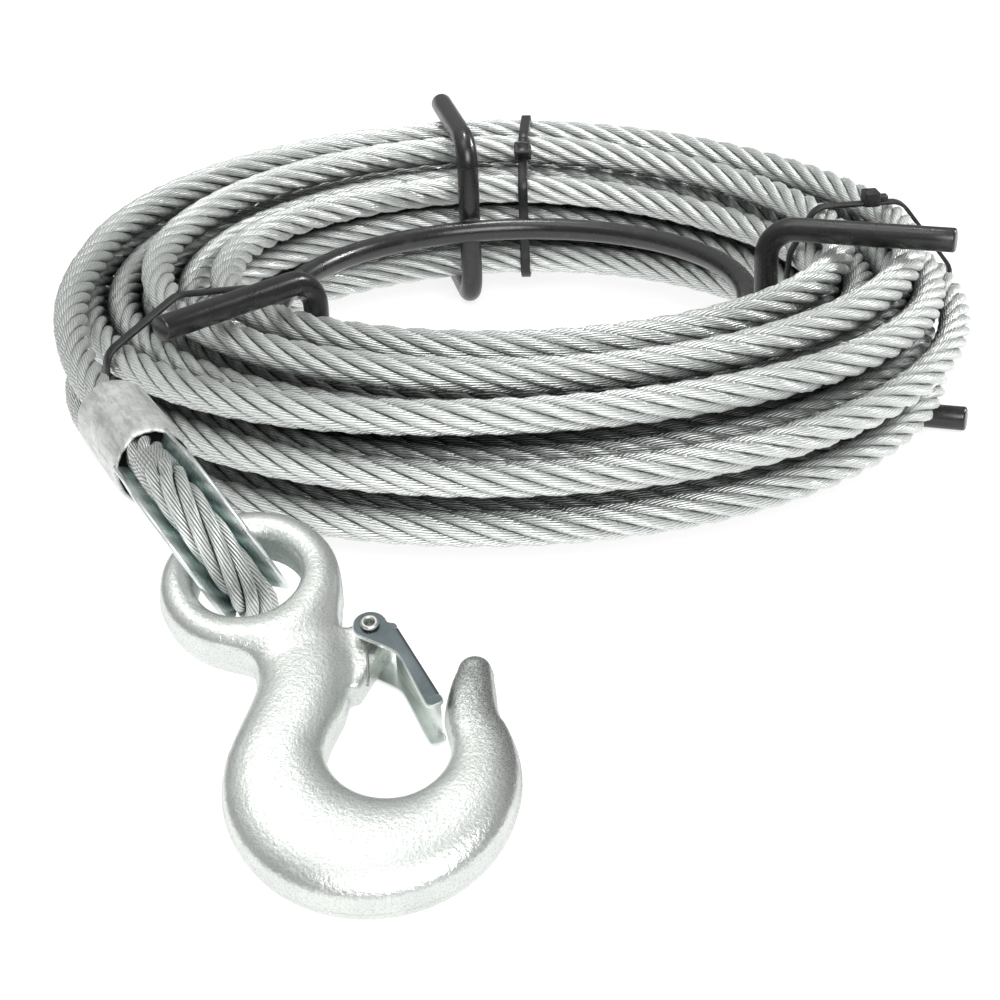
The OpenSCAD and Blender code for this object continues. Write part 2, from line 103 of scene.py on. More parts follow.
# Camera, at the photograph's angle
CAMERA_AT = (0.00327, -0.7661, 0.2981)
CAMERA_TURN = (23.97, -0.76, -2.18)  # pitch, yaw and roll
SENSOR, FOCAL = 36, 2.338  # the picture's width in mm, and the focal length in such widths


def make_camera():
    pitch, yaw, roll = np.radians(CAMERA_TURN)
    ahead = np.array([np.sin(yaw) * np.cos(pitch), np.cos(yaw) * np.cos(pitch), -np.sin(pitch)])
    r = np.array([np.cos(yaw), -np.sin(yaw), 0])
    u = np.cross(r, ahead)
    right = np.cos(roll) * r + np.sin(roll) * u
    up = -np.sin(roll) * r + np.cos(roll) * u
    data = bpy.data.cameras.new("camera")
    data.sensor_width = SENSOR
    data.lens = SENSOR * FOCAL
    data.clip_start, data.clip_end = 0.01, 50
    cam = bpy.data.objects.new("camera", data)
    bpy.context.scene.collection.objects.link(cam)
    m = Matrix.Identity(4)
    for i in range(3):
        m[i][0], m[i][1], m[i][2], m[i][3] = right[i], up[i], -ahead[i], CAMERA_AT[i]
    cam.matrix_world = m
    bpy.context.scene.camera = cam


make_camera()


# Mesh helpers
def new_piece(name, verts, faces, body, slot, mat, *replaced):
    mesh = bpy.data.meshes.new(name)
    mesh.from_pydata((np.asarray(verts, float) * MM).tolist(), [], [list(map(int, f)) for f in faces])
    mesh.validate()
    mesh.update()
    mesh.polygons.foreach_set("use_smooth", [True] * len(mesh.polygons))
    mesh.materials.append(mat)
    obj = bpy.data.objects.new(name, mesh)
    bpy.context.scene.collection.objects.link(obj)
    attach(obj, body)
    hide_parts(*replaced)
    return obj


def mark(obj, name, values, domain="POINT"):
    """A value, or a vector, for each point or face corner, for the material to read."""
    data = np.asarray(values, np.float32)
    kind, field = ("FLOAT_VECTOR", "vector") if data.ndim == 2 else ("FLOAT", "value")
    obj.data.attributes.new(name, kind, domain).data.foreach_set(field, data.ravel())


def corners(mesh):
    """Each face corner's vertex and face, and how many corners that face has."""
    vertex = np.zeros(len(mesh.loops), np.int32)
    mesh.loops.foreach_get("vertex_index", vertex)
    total = np.zeros(len(mesh.polygons), np.int32)
    mesh.polygons.foreach_get("loop_total", total)
    face = np.repeat(np.arange(len(total)), total)
    return vertex, face, total[face]


def skin(rings, sides, closed=False):
    """Quads between rings of one size, with an end face at each end unless the rings close."""
    faces = []
    for i in range(rings if closed else rings - 1):
        a, b = i * sides, (i + 1) % rings * sides
        for k in range(sides):
            n = (k + 1) % sides
            faces.append((a + k, a + n, b + n, b + k))
    if not closed:
        faces.append(tuple(reversed(range(sides))))
        faces.append(tuple((rings - 1) * sides + k for k in range(sides)))
    return faces


def join(*parts):
    verts, faces, n = [], [], 0
    for v, f in parts:
        verts.append(np.asarray(v, float).reshape(-1, 3))
        faces += [tuple(i + n for i in g) for g in f]
        n += len(verts[-1])
    return np.concatenate(verts), faces


def frames(path, up, closed=False):
    """Three directions at each point of a path: along it, aside and up."""
    if closed:
        t = unit(np.roll(path, -1, 0) - np.roll(path, 1, 0))
    else:
        t = unit(np.gradient(path, axis=0))
    s = unit(np.cross(np.broadcast_to(up, t.shape), t))
    return t, s, np.cross(t, s)


def spaced(path, step):
    """Points at even steps along a path, and how far along each one lies."""
    path = np.asarray(path, float)
    at = np.concatenate([[0], np.cumsum(np.linalg.norm(np.diff(path, axis=0), axis=1))])
    n = max(2, int(round(at[-1] / step)))
    want = np.linspace(0, at[-1], n + 1)
    return np.stack([np.interp(want, at, path[:, i]) for i in range(3)], 1), want


def rounded(points, per_span=12):
    """A smooth curve through points."""
    p = np.asarray(points, float)
    p = np.concatenate([[2 * p[0] - p[1]], p, [2 * p[-1] - p[-2]]])
    out = []
    t = np.linspace(0, 1, per_span, endpoint=False)[:, None]
    for a, b, c, d in zip(p, p[1:], p[2:], p[3:]):
        square, cube = 2 * a - 5 * b + 4 * c - d, 3 * b - a - 3 * c + d
        out.append(0.5 * (2 * b + (c - a) * t + square * t**2 + cube * t**3))
    return np.concatenate(out + [p[-2:-1]])


def circle(sides, r=1.0):
    a = 2 * np.pi * np.arange(sides) / sides
    return np.stack([r * np.cos(a), r * np.sin(a)], 1)


def arc(cx, cy, r, a0, a1, n):
    a = np.radians(np.linspace(a0, a1, n))
    return np.stack([cx + r * np.cos(a), cy + r * np.sin(a)], 1)


def tube(mid, section, s, u, scale):
    """Rings of one section round the points of a line, on the two directions given at each."""
    size = np.broadcast_to(scale, len(mid))[:, None, None]
    return (mid[:, None] + size * (section[:, :1] * s[:, None] + section[:, 1:] * u[:, None])).reshape(-1, 3)


def sweep(path, section, up, closed=False, scale=1.0):
    _, s, u = frames(path, up, closed)
    return tube(path, section, s, u, scale), skin(len(path), len(section), closed)


def lathe(profile, sides):
    """A profile of (radius, height) from bottom to top, turned about Z, with a face at each end."""
    c = circle(sides)
    v = np.concatenate([np.c_[r * c, np.full(sides, z)] for r, z in profile])
    return v, skin(len(profile), sides)


# Material helpers
class Look:
    """A material's node tree, built up in short steps."""

    def __init__(self, name):
        self.mat = bpy.data.materials.new(name)
        self.mat.use_nodes = True
        self.tree = self.mat.node_tree
        self.bsdf = next(n for n in self.tree.nodes if n.type == "BSDF_PRINCIPLED")
        self.place = None

    def put(self, socket, value):
        if hasattr(value, "is_output"):
            self.tree.links.new(value, socket)
        else:
            socket.default_value = value

    def set(self, **values):
        for k, v in values.items():
            self.put(self.bsdf.inputs[k.replace("_", " ")], v)

    def math(self, op, a, b=0.0):
        n = self.tree.nodes.new("ShaderNodeMath")
        n.operation = op
        self.put(n.inputs[0], a)
        self.put(n.inputs[1], b)
        return n.outputs[0]

    def times(self, a, b):
        return self.math("MULTIPLY", a, b)

    def line(self, value, slope, start):
        return self.math("ADD", self.times(value, slope), start)

    def coords(self):
        if self.place is None:
            self.place = self.tree.nodes.new("ShaderNodeTexCoord").outputs["Object"]
        return self.place

    def noise(self, scale, detail, rough, vector=None):
        n = self.tree.nodes.new("ShaderNodeTexNoise")
        self.put(n.inputs["Vector"], vector if vector is not None else self.coords())
        n.inputs["Scale"].default_value = scale
        n.inputs["Detail"].default_value = detail
        n.inputs["Roughness"].default_value = rough
        return n.outputs[0]

    def random(self, value):
        n = self.tree.nodes.new("ShaderNodeTexWhiteNoise")
        n.noise_dimensions = "1D"
        self.put(n.inputs["W"], value)
        return n.outputs["Value"]

    def scaled(self, scale, vector=None):
        n = self.tree.nodes.new("ShaderNodeMapping")
        n.inputs["Scale"].default_value = scale
        self.put(n.inputs["Vector"], vector if vector is not None else self.coords())
        return n.outputs[0]

    def span(self, value, a, b, c=0.0, d=1.0, smooth=True):
        """From a to b, the value goes from c to d."""
        n = self.tree.nodes.new("ShaderNodeMapRange")
        n.interpolation_type = "SMOOTHSTEP" if smooth else "LINEAR"
        self.put(n.inputs["Value"], value)
        for k, v in zip(("From Min", "From Max", "To Min", "To Max"), (a, b, c, d)):
            self.put(n.inputs[k], v)
        return n.outputs["Result"]

    def mix(self, share, a, b):
        n = self.tree.nodes.new("ShaderNodeMix")
        n.data_type = "RGBA"
        self.put(n.inputs["Factor"], share)
        for k, v in (("A", a), ("B", b)):
            socket = next(i for i in n.inputs if i.name == k and i.type == "RGBA")
            self.put(socket, (*v, 1) if isinstance(v, tuple) else v)
        return next(o for o in n.outputs if o.type == "RGBA")

    def attribute(self, name, output="Fac"):
        n = self.tree.nodes.new("ShaderNodeAttribute")
        n.attribute_name = name
        return n.outputs[output]

    def bump(self, height, depth, strength, under=None):
        n = self.tree.nodes.new("ShaderNodeBump")
        n.inputs["Strength"].default_value = strength
        n.inputs["Distance"].default_value = depth
        self.put(n.inputs["Height"], height)
        if under is not None:
            self.put(n.inputs["Normal"], under)
        return n.outputs[0]


def dim(tone, share):
    return tuple(share * c for c in tone)


def rope_look(name, pale, dark, groove_depth, wire_contrast):
    """Bright zinc wires in strands, with painted shade in the grooves between wires, the gaps between the strands and
    those between the turns.
    """
    k = Look(name)
    wires = k.attribute("wire")
    across = k.math("ABSOLUTE", k.math("SUBTRACT", k.times(k.math("FRACT", wires), 2.0), 1.0))
    crown = k.math("SUBTRACT", 1.0, k.math("POWER", across, 2.5))
    each = k.random(k.math("FLOOR", wires))
    valley_shade = k.attribute("valley_shade")
    groove = k.span(across, 0.6, 1.0)
    stain = k.span(k.noise(22, 4, 0.6), 0.42, 0.7)
    fine = k.noise(420, 3, 0.6)
    tone = k.mix(k.span(each, 0, 1, 0.0, 0.5 * wire_contrast, False), pale, dim(pale, 0.7))
    tone = k.mix(k.span(fine, 0.35, 0.75, 0.0, 0.3), tone, dim(pale, 0.65))
    tone = k.mix(k.times(stain, 0.12), tone, (0.30, 0.33, 0.31))
    # Painted shade: the grooves between wires are darkened in the colour
    tone = k.mix(k.times(groove, 0.6 * wire_contrast), tone, dark)
    # Painted shade: the flanks and valleys between strands are darkened in the colour
    tone = k.mix(k.span(valley_shade, 0.05, 0.6, 0.0, 0.3), tone, dim(pale, 0.5))
    tone = k.mix(k.span(valley_shade, 0.5, 1.0, 0.0, 0.88), tone, dim(dark, 0.35))
    # Painted shade: where other turns crowd or shut in the rope, the colour goes nearly black
    tone = k.mix(k.times(k.attribute("turn_shade"), 0.9), tone, (0.008, 0.009, 0.009))
    rough = k.math("ADD", k.times(fine, 0.25), k.times(each, 0.1))
    k.set(Base_Color=tone, Metallic=0.85, Roughness=k.math("ADD", rough, 0.2))
    k.set(Normal=k.bump(crown, groove_depth, 0.9))
    return k.mat


def hook_look():
    """Bright zinc on a forging: a fine orange peel, with its dark pits and specks stronger towards the tip, where
    painted shade darkens it.
    """
    k = Look("forged_zinc")
    tip_grain_and_shade = k.attribute("tip_grain_and_shade")
    peel = k.noise(950, 2, 0.55)
    grain = k.noise(2400, 2, 0.6)
    broad = k.noise(60, 3, 0.5)
    tone = k.mix(k.span(broad, 0.35, 0.7), (0.79, 0.815, 0.785), (0.70, 0.73, 0.705))
    # Painted shade: the colour darkens towards the tip, standing in for the dark coil it reflects
    tone = k.mix(k.times(tip_grain_and_shade, 0.4), tone, (0.34, 0.355, 0.345))
    speck = k.span(k.noise(3000, 1, 0.5), 0.5, 0.62)
    tone = k.mix(k.times(speck, k.times(tip_grain_and_shade, 0.75)), tone, (0.09, 0.097, 0.094))
    pits = k.times(k.span(grain, 0.46, 0.72), k.line(tip_grain_and_shade, 0.5, 0.4))
    tone = k.mix(pits, tone, (0.28, 0.295, 0.285))
    k.set(Base_Color=tone, Metallic=0.95, Roughness=k.line(grain, 0.3, 0.2))
    skin_bump = k.bump(peel, 0.00024, 0.6, k.bump(broad, 0.0005, 0.4))
    k.set(Normal=k.bump(grain, 0.00008, 0.5, skin_bump))
    return k.mat


def sheet_look(name, base, worn, rough):
    """Zinc-plated metal: even, brushed one way and scuffed."""
    k = Look(name)
    brushed = k.noise(240, 3, 0.6, k.scaled((1, 0.12, 1)))
    cloud = k.noise(90, 4, 0.6)
    tone = k.mix(k.span(cloud, 0.38, 0.68), base, worn)
    k.set(Base_Color=tone, Metallic=0.95, Roughness=k.line(brushed, 0.22, rough))
    k.set(Normal=k.bump(brushed, 0.00006, 0.5, k.bump(cloud, 0.0003, 0.35)))
    return k.mat


INSIDE, OUTSIDE, CUT_EDGE = 0.0, 1.0, 2.0  # what the latch's faces are


def latch_look():
    """Plated sheet with painted light and shade: blue-grey, painted dark outside and pale inside, with a painted
    highlight on the cut edges.
    """
    k = Look("plated_latch")
    kind = k.attribute("face_kind")
    brushed = k.noise(240, 3, 0.6, k.scaled((1, 0.12, 1)))
    cloud = k.noise(90, 4, 0.6)
    worn = k.span(cloud, 0.38, 0.68)
    # Painted shade on the outside faces and painted light on the inside faces, of one plating
    outside = k.mix(worn, (0.095, 0.117, 0.124), (0.14, 0.165, 0.172))
    inside = k.mix(worn, (0.72, 0.77, 0.74), (0.60, 0.65, 0.62))
    tone = k.mix(k.span(kind, 0.2, 0.8), inside, outside)
    # Painted highlight on the cut edges
    tone = k.mix(k.span(kind, 1.2, 1.8), tone, (0.85, 0.88, 0.87))
    k.set(Base_Color=tone, Metallic=0.9, Roughness=k.line(brushed, 0.22, 0.2))
    k.set(Normal=k.bump(brushed, 0.00005, 0.5, k.bump(cloud, 0.0002, 0.3)))
    return k.mat


def thimble_look():
    """Plated sheet with a green-blue tinge, painted shade darkening the channel and painted light brightening the
    back and rims.
    """
    k = Look("plated_thimble")
    outside = k.attribute("outside")
    brushed = k.noise(260, 3, 0.6)
    cloud = k.noise(120, 4, 0.6)
    # Painted shade in the channel, where the rope lies; painted light on the back and rims
    channel = k.mix(k.span(cloud, 0.36, 0.66), (0.30, 0.42, 0.41), (0.50, 0.61, 0.59))
    rims = k.mix(k.span(cloud, 0.38, 0.68), (0.74, 0.80, 0.79), (0.86, 0.89, 0.88))
    tone = k.mix(k.span(outside, 0.2, 0.8), channel, rims)
    k.set(Base_Color=tone, Metallic=0.85, Roughness=k.line(brushed, 0.22, 0.18))
    k.set(Normal=k.bump(brushed, 0.00006, 0.5, k.bump(cloud, 0.0003, 0.35)))
    return k.mat


def ferrule_look():
    """Pressed aluminium: pale and dull, drawn lengthwise, stained and scratched, with painted shade going black into
    the bore at each end.
    """
    k = Look("pressed_metal")
    own = k.attribute("own", "Vector")
    blotch = k.noise(90, 6, 0.65, own)
    speck = k.noise(900, 4, 0.75, own)
    streak = k.noise(420, 5, 0.65, k.scaled((0.16, 1, 1), own))
    tone = k.mix(k.span(blotch, 0.38, 0.66), (0.87, 0.89, 0.865), (0.65, 0.67, 0.655))
    tone = k.mix(k.span(streak, 0.46, 0.64, 0.0, 0.5), tone, (0.34, 0.355, 0.345))
    tone = k.mix(k.span(speck, 0.55, 0.7, 0.0, 0.55), tone, (0.26, 0.275, 0.265))
    # Painted shade: black where the lips turn into the bore, fading over each end face
    tone = k.mix(k.span(k.attribute("edge"), 0.0, 1.0, 0.0, 0.9), tone, (0.03, 0.033, 0.033))
    k.set(Base_Color=tone, Metallic=0.6, Roughness=k.line(speck, 0.3, 0.3))
    k.set(Normal=k.bump(speck, 0.00012, 0.6, k.bump(streak, 0.00022, 0.6)))
    return k.mat


def bar_look():
    """Black coated bar: satin, with a slight orange peel and dusty scuffs."""
    k = Look("black_coating")
    peel = k.noise(900, 2, 0.5)
    scuff = k.noise(130, 5, 0.7)
    tone = k.mix(k.span(scuff, 0.55, 0.78), (0.006, 0.0065, 0.006), (0.035, 0.035, 0.033))
    k.set(Base_Color=tone, Roughness=k.line(scuff, 0.3, 0.14), Specular_IOR_Level=0.7)
    k.set(Normal=k.bump(peel, 0.00008, 0.5))
    return k.mat


def nylon_look():
    """Black nylon: a soft, mottled sheen."""
    k = Look("black_nylon")
    mottled = k.noise(300, 3, 0.6)
    tone = k.mix(k.span(mottled, 0.4, 0.7), (0.006, 0.006, 0.006), (0.02, 0.02, 0.02))
    k.set(Base_Color=tone, Roughness=k.line(mottled, 0.2, 0.3))
    k.set(Normal=k.bump(mottled, 0.00008, 0.4))
    return k.mat


# Each rope's second tone is the painted shade in its grooves and valleys
ROPE = rope_look("zinc_wire", (0.95, 0.98, 0.955), (0.14, 0.155, 0.15), 0.00035, 0.6)
EYE_ROPE = rope_look("zinc_wire_eye", (0.92, 0.945, 0.92), (0.05, 0.055, 0.053), 0.0006, 1.0)
HOOK = hook_look()
LATCH = latch_look()
THIMBLE = thimble_look()
RIVET = sheet_look("plated_rivet", (0.62, 0.62, 0.59), (0.48, 0.48, 0.46), 0.2)
SPRING = sheet_look("spring_steel", (0.30, 0.31, 0.31), (0.4, 0.41, 0.4), 0.25)
FERRULE = ferrule_look()
BAR = bar_look()
NYLON = nylon_look()


# Rope: the route repeats the part's source
def coil_points(u):
    """The coil's middle line, u loops on from its tail."""
    u = np.asarray(u, float)
    angle = np.radians(COIL_START + 360 * u)
    layer = np.minimum(CLOSE_LAYERS, np.floor(u / LAYER_LOOPS))
    share = u / LAYER_LOOPS - layer
    inward = np.where(layer % 2 == 0, share, 1 - share)
    up = [ease((u - n * LAYER_LOOPS) / CLIMB + 0.5) for n in (1, 2, 3)]
    close = CLOSE_LAYERS * LAYER_LOOPS

    def bump(d):
        return np.maximum(0, np.cos(angle - math.radians(d))) ** 3

    close_r = COIL_R_OUT - (COIL_R_OUT - COIL_R_IN) * inward
    open_r = COIL_R_IN + (EXIT_R - COIL_R_IN) * (u - close) / (COIL_LOOPS - close)
    r = np.where(u < close, close_r, open_r) + COIL_SHIFT * np.cos(angle - math.radians(SHIFT_DIR))
    r = r - COIL_LEAN * (sum(up) / 3 - LEAN_PIVOT) * bump(LEAN_DIR) - COIL_FLAT * bump(FLAT_DIR)
    outer = (u > 2 * LAYER_LOOPS) & (u < 2 * LAYER_LOOPS + 1)
    z = FIRST_Z + sum(s * c for s, c in zip(STEPS, up)) - COIL_SAG * up[0] * bump(SAG_DIR)
    z = z + np.where(outer, OUTER_RISE * bump(RISE_DIR), 0)
    return np.stack([r * np.cos(angle), r * np.sin(angle), z], 1)


# Points of the lead and the tail, as steps from one rope's width past the coil's ends
LEAD_STEPS = [(-0.5, -26, 0), (0.3, -40, 0), (2.2, -55, -0.1), (5, -70, -0.3), (8.7, -85, -0.6), (13.2, -100, -0.8)]
LEAD_REACH = (24, -128, -1)
IN_FERRULE = 3
TAIL_STEPS = [(20, 0, -0.6), (29, 0, -2.4), (38, 0, -4.8), (47, 0, -6.9), (55, 0, -7.9), (61, 0, -8), (72, 0, -8)]

coil = coil_points(np.linspace(0, COIL_LOOPS, int(COIL_LOOPS * 240) + 1))
ends = coil_points([0, 0.002, COIL_LOOPS - 0.002, COIL_LOOPS])
tail_way, lead_way = unit(ends[0] - ends[1]), unit(ends[3] - ends[2])
tail_from, lead_from = ends[0] + ROPE_D * tail_way, ends[3] + ROPE_D * lead_way
lead_end = lead_from + np.array(LEAD_REACH)
along = THIMBLE_M[:, 0]
lead = [lead_end - IN_FERRULE * along, lead_end, lead_end + ROPE_D * along]
lead += [lead_from + np.array(p) for p in reversed(LEAD_STEPS)] + [lead_from + ROPE_D * lead_way, lead_from]
tail = [tail_from, tail_from + ROPE_D * tail_way] + [tail_from + np.array(p) for p in TAIL_STEPS]
route = np.concatenate([rounded(lead)[:-1], coil[::-1], rounded(tail)])

ROPE_STEP = 4.7  # between the rope's rings
LAY, STRANDS, STRAND_AT, STRAND_R = 65.0, 6, 3.667, 1.833
WIRES, WIRE_LAY = 12, 21.7  # a strand's outer wires, and how far one runs in a turn
WIRE_SHIFT = 37  # sets the strands' wires apart in the material
LOBE = np.radians([-120, -80, -40, 0, 40, 80])  # a strand's points, round its own middle
LOBE_END = math.radians(120)
# Painted shade at a strand's points: most where they lie deep between two strands
VALLEY_SHADE = [1.0, 0.45, 0.05, 0.0, 0.05, 0.45]  # how deep they lie between two strands
SIDES = STRANDS * len(LOBE)


def rope_rings(path, turned, size):
    """Rings of a six-strand rope with its strands turned by the given angles."""
    _, s, u = frames(path, UP)
    centre = np.repeat(2 * np.pi * np.arange(STRANDS) / STRANDS, len(LOBE))
    psi = np.tile(LOBE, STRANDS)
    x = STRAND_AT * np.cos(centre) + STRAND_R * np.cos(centre + psi)
    y = STRAND_AT * np.sin(centre) + STRAND_R * np.sin(centre + psi)
    c, d = np.cos(turned)[:, None], np.sin(turned)[:, None]
    px, py = (c * x - d * y) * size[:, None], (d * x + c * y) * size[:, None]
    return (path[:, None] + px[..., None] * s[:, None] + py[..., None] * u[:, None]).reshape(-1, 3)


def closing_corners(face, side, sides):
    """Corners that end a face between the last side of a ring and its first."""
    high = np.zeros(face[-1] + 1, np.int32)
    np.maximum.at(high, face, side)
    return (high[face] == sides - 1) & (side == 0)


def mark_wires(obj, share, far, strand):
    """Each corner's place across its strand's wires, counted in wires, from its share of a turn round the strand."""
    mark(obj, "wire", WIRES * (share + far / WIRE_LAY) + WIRE_SHIFT * strand, "CORNER")


def mark_rope(obj, at):
    vertex, face, _ = corners(obj.data)
    ring, side = vertex // SIDES, vertex % SIDES
    strand, step = side // len(LOBE), side % len(LOBE)
    closing = closing_corners(face, step, len(LOBE))
    strand = np.where(closing, (strand - 1) % STRANDS, strand)
    psi = np.where(closing, LOBE_END, LOBE[step])
    mark_wires(obj, psi / (2 * np.pi), at[ring], strand)
    mark(obj, "valley_shade", np.tile(VALLEY_SHADE, STRANDS * len(at)))


def shade_between_turns(verts, path, at, apart=40.0, step=4.0, reach=26.0):
    """Painted shade for each point, from how much of its outlook other turns fill: 1 where they all but touch or shut
    it in.
    """
    line, far = spaced(path, step)
    tree = kdtree.KDTree(len(line))
    for i, p in enumerate(line):
        tree.insert(p, i)
    tree.balance()
    rings = verts.reshape(len(path), -1, 3)
    shut = np.zeros(rings.shape[:2])
    for n, mid in enumerate(path):
        near = [i for _, i, _ in tree.find_range(mid, reach) if abs(far[i] - at[n]) > apart]
        if not near:
            continue
        out = unit(rings[n] - mid)
        way = line[near][None] - rings[n][:, None]
        gap = np.linalg.norm(way, axis=2)
        facing = np.maximum((way * out[:, None]).sum(2) / gap, 0)
        filled = (facing * ROPE_D * step / np.maximum(gap, 4) ** 2).sum(1) / np.pi
        touch = 1 - ease((gap.min(1) - ROPE_R - 0.4) / 2.2)
        shut[n] = 1 - (1 - touch) * (1 - 0.8 * ease((filled - 0.4) / 0.7))
    return shut.ravel()


def make_rope():
    path, at = spaced(route, ROPE_STEP)
    verts = rope_rings(path, 2 * np.pi * at / LAY, np.ones(len(at)))
    rope = new_piece(
        "wire_rope", verts, skin(len(path), SIDES), "reel_and_rope", "wire_rope", ROPE,
        "wire_rope_coil", "wire_rope_lead", "wire_rope_tail",
    )
    mark_rope(rope, at)
    # Painted shade where other turns crowd the rope
    mark(rope, "turn_shade", shade_between_turns(verts, path, at))
    return rope, path, at


def make_tip(turned):
    """The rope's fused end: its strands run into a smooth point."""
    steps = np.array([0, 3, 6, 9, 12, 15, 18, 20, 22, 24, 26, 28, 29.5, 30.4, 31])
    size = np.array([1, 1, 1, 1, 1, 1, 1, 0.99, 0.97, 0.86, 0.74, 0.62, 0.53, 0.43, 0.2])
    path = tail[-1] + steps[:, None] * np.array([1.0, 0, 0])
    verts = rope_rings(path, turned + 2 * np.pi * steps / LAY, size).reshape(len(steps), SIDES, 3)
    fill = ease((steps - 8) / 14)[:, None, None]
    off = verts - path[:, None]
    plain = unit(off) * (ROPE_R * size)[:, None, None]
    verts = (path[:, None] + off * (1 - fill) + plain * fill).reshape(-1, 3)
    tip = new_piece(
        "fused_tip", verts, skin(len(steps), SIDES), "reel_and_rope", "rope_tip", FERRULE, "rope_tip",
    )
    mark(tip, "edge", np.zeros(len(verts)))
    mark(tip, "own", verts * MM)
    return tip


rope, rope_path, rope_at = make_rope()
tip = make_tip(2 * np.pi * rope_at[-1] / LAY)

# Rope eye: six strands round the thimble, from the cut end through the ferrule to the other leg
EYE_SIDES = 18
EYE_STRAND_AT, EYE_STRAND_R, EYE_CORE_R = 3.72, 1.74, 2.5
EYE_PRESSED = 0.2  # how much smaller the legs are inside the ferrule
EYE_LEG_Y = 5.4  # at the ferrule's mouth


def make_eye():
    a = np.radians(np.linspace(290, 70, 45)[::3])
    crown = np.stack([ROPE_BEND_R * np.cos(a), ROPE_BEND_R * np.sin(a), 0 * a], 1)
    far_x = MOUTH_X + FERRULE_L
    dead = [(far_x + 5, -5.5, 0), (far_x, -5.3, 0), (far_x - 8, -4.4, 0), (MOUTH_X + 8, -4.4, 0)]
    dead += [(MOUTH_X, -EYE_LEG_Y, 0), (LEG_END_X + 4, -5.7, 0), (LEG_END_X - 3, -6.5, 0)]
    live = [(LEG_END_X - 3, 6.5, 0), (LEG_END_X + 4, 5.7, 0), (MOUTH_X, EYE_LEG_Y, 0), (MOUTH_X + 6, 4.6, 0)]
    path, at = spaced(rounded(np.concatenate([dead, crown, live])), 1.6)
    inside = ease((path[:, 0] - MOUTH_X + 2) / 6) * ease((far_x + 1 - path[:, 0]) / 5)
    size = 1 - EYE_PRESSED * inside
    t, s, u = frames(path, UP)
    ring = circle(EYE_SIDES)
    one_skin = skin(len(path), EYE_SIDES)
    parts, valley_shades = [], []
    for n in range(STRANDS):
        turn = 2 * np.pi * at / LAY + 2 * np.pi * n / STRANDS
        out = np.cos(turn)[:, None] * s + np.sin(turn)[:, None] * u
        mid = path + EYE_STRAND_AT * size[:, None] * out
        parts.append((tube(mid, ring, out, np.cross(t, out), EYE_STRAND_R * size), one_skin))
        # Painted shade: each strand's side towards the core, and the whole core, are darkened in the colour
        valley_shades.append(np.tile(np.clip(0.5 - 0.9 * ring[:, 0], 0, 1), len(path)))
    parts.append((tube(path, ring, s, u, EYE_CORE_R * size), one_skin))
    valley_shades.append(np.ones(len(path) * EYE_SIDES))
    verts, faces = join(*parts)
    eye = new_piece(
        "rope_eye", from_thimble(verts), faces, "reel_and_rope", "wire_rope", EYE_ROPE, "wire_rope_eye",
    )
    vertex, face, count = corners(eye.data)
    strand, own = np.divmod(vertex, len(path) * EYE_SIDES)
    side = own % EYE_SIDES
    closing = closing_corners(face, side, EYE_SIDES) & (count == 4)
    mark_wires(eye, np.where(closing, EYE_SIDES, side) / EYE_SIDES, at[own // EYE_SIDES], strand)
    mark(eye, "valley_shade", np.concatenate(valley_shades))


make_eye()


# Ferrule, with pressed ends and an uneven skin
def make_ferrule():
    sides = 120
    near = [(9, 8.6), (3, 9.6), (0.5, 10.2), (0, 10.45), (0.1, 10.95), (0.5, 11.3), (1.4, 11.45)]
    straight = [(x, FERRULE_R) for x in np.linspace(4, 39, 20)]
    far = [(41.5, 11.45), (42.3, 11.3), (42.75, 11.05), (43, 10.6), (43, 9.9), (42.7, 9.3), (41.6, 8.9)]
    profile = near + straight + far
    a = 2 * np.pi * np.arange(sides) / sides
    wave = 0.10 * np.sin(2 * a + 0.6) + 0.05 * np.sin(3 * a + 2.0)
    seam = 0
    for c in (0.15, 0.15 + np.pi):
        off = (a - c + np.pi) % (2 * np.pi) - np.pi
        seam = seam + 0.22 * np.exp(-(off / 0.06) ** 2)
    ragged = 0.4 * np.sin(2 * a + 1.0) + 0.3 * np.sin(5 * a) + 0.22 * np.sin(11 * a + 0.7) + 0.16 * np.sin(23 * a)
    wavy = 0.14 * np.sin(3 * a) + 0.06 * np.sin(8 * a)
    rings = []
    for i, (x, r) in enumerate(profile):
        lip = 0 * a
        if i < len(near) - 1:
            lip = ragged
        elif i > len(near) + len(straight):
            lip = wavy
        uneven = wave * (0.6 + 0.4 * math.sin(x * 0.21)) + 0.04 * np.sin(5 * a + 0.3 * x)
        rr = r + np.minimum(uneven, 0.1) - 0.1 + seam * (r > 11.4)
        rings.append(np.stack([MOUTH_X + x + lip, rr * np.cos(a), rr * np.sin(a)], 1))
    verts = np.concatenate(rings)
    piece = new_piece(
        "pressed_ferrule", from_thimble(verts), skin(len(rings), sides), "reel_and_rope", "ferrule", FERRULE,
        "ferrule",
    )
    # Painted shade at each end: the lips turning into the bore, and a little of each end face
    edge = np.interp([x for x, _ in profile], [0, 0.6, 42.2, 43], [0.35, 0.0, 0.0, 0.4])
    edge[:3], edge[-3:] = 1, 1
    mark(piece, "own", verts * MM)
    mark(piece, "edge", np.repeat(edge, sides))


make_ferrule()


